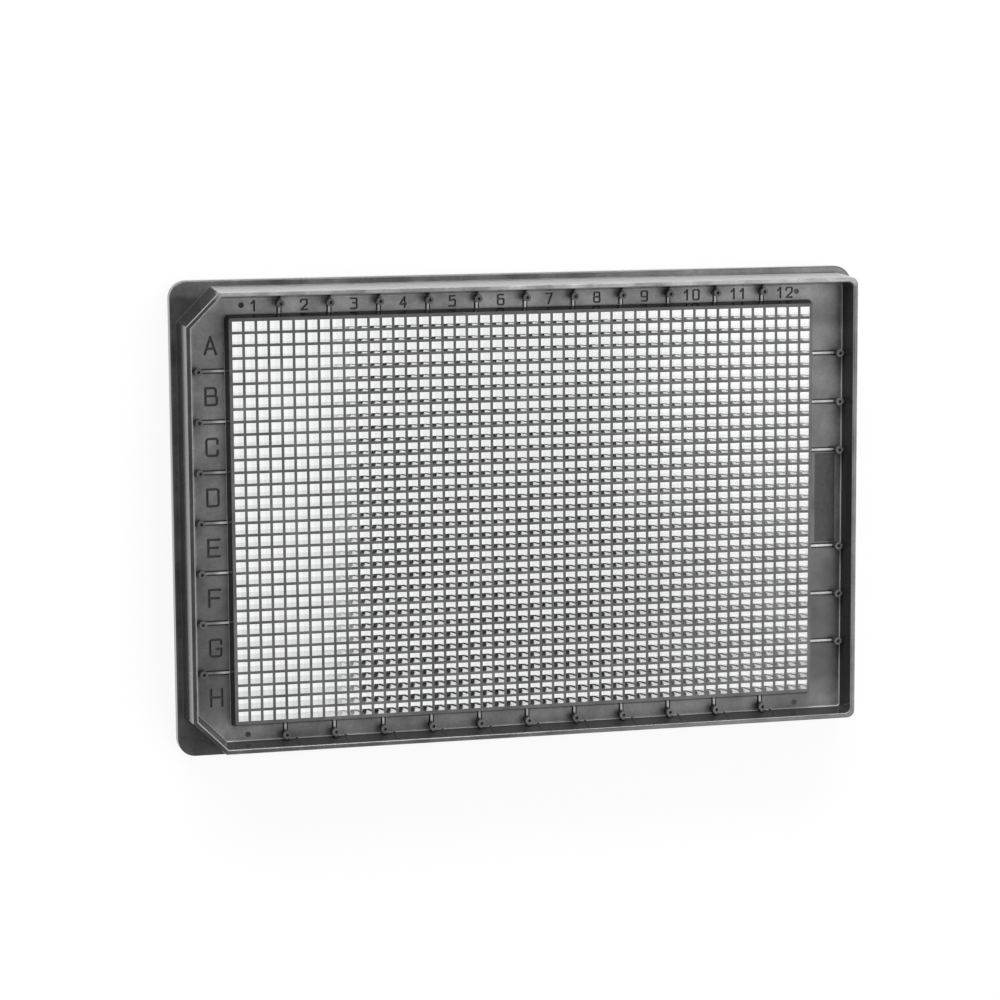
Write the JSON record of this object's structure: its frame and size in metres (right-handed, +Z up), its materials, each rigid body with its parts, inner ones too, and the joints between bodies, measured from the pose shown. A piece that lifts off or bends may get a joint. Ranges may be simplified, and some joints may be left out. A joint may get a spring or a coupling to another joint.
{
  "type": "well plate",
  "caption": "Flat microplate with a dense grid of small square wells, a raised rim, engraved row letters and column numbers, two cut corners and a clear bonded film bottom.",
  "frame": {"origin": "middle of the footprint, on the resting plane under the skirt foot", "axes": "+X along the long side from column 1 to column 48, +Y along the short side towards row A, +Z up out of the wells"},
  "size_m": [0.1278, 0.0854, 0.0104],
  "materials": {
    "plate_body": "glossy moulded surface, near black",
    "film_bottom": "clear smooth film"
  },
  "bodies": {
    "root": {"plate_body": "plate_body", "film_bottom": "film_bottom"}
  },
  "joints": []
}
